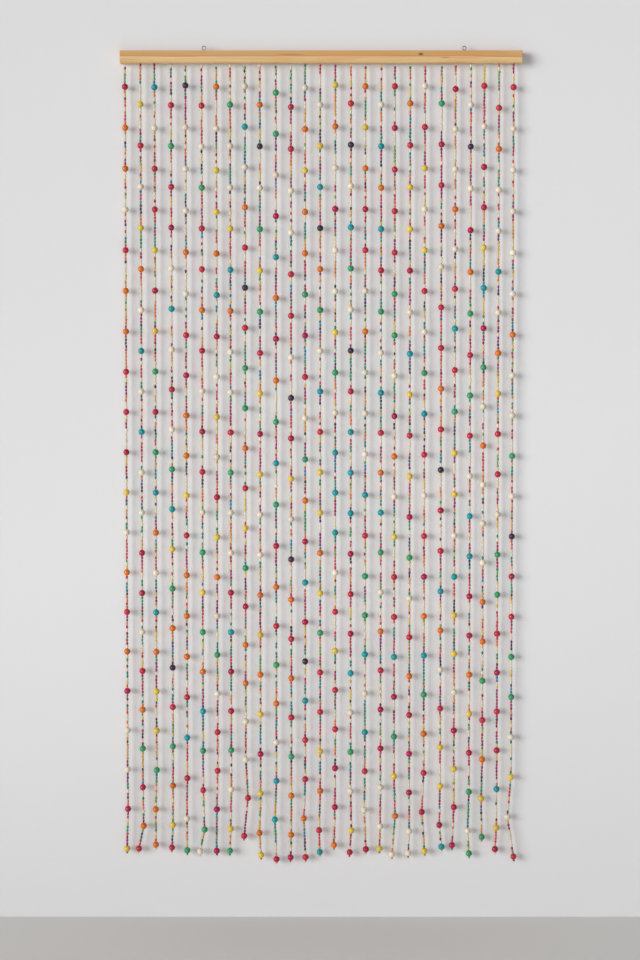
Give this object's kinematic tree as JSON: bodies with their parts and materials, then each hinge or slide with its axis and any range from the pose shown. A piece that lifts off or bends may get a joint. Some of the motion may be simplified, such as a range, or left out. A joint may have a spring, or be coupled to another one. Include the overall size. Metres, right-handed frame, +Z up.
{
  "type": "bead curtain with wooden hanging bar",
  "caption": "Doorway curtain of loose hanging strands of large round and small oblong coloured beads, strung from a pine bar that hangs by screw eyes.",
  "frame": {"origin": "centre of the bar's back face, the face that lies against the wall", "axes": "+Z up, +X to the right as seen from the room, +Y into the wall, so the front faces -Y"},
  "size_m": [0.9, 0.024, 1.8481],
  "materials": {
    "pine": "planed pine, satin, unpainted",
    "plated_steel": "dulled zinc-plated wire",
    "beads": "turned wooden beads in mixed bright lacquers on cotton string"
  },
  "bodies": {
    "root": {"bar": "pine", "screw_eye_left": "plated_steel", "screw_eye_right": "plated_steel", "strand_01": "beads", "strand_02": "beads", "strand_03": "beads", "strand_04": "beads", "strand_05": "beads", "strand_06": "beads", "strand_07": "beads", "strand_08": "beads", "strand_09": "beads", "strand_10": "beads", "strand_11": "beads", "strand_12": "beads", "strand_13": "beads", "strand_14": "beads", "strand_15": "beads", "strand_16": "beads", "strand_17": "beads", "strand_18": "beads", "strand_19": "beads", "strand_20": "beads", "strand_21": "beads", "strand_22": "beads", "strand_23": "beads", "strand_24": "beads", "strand_25": "beads", "strand_26": "beads", "strand_27": "beads"}
  },
  "joints": []
}
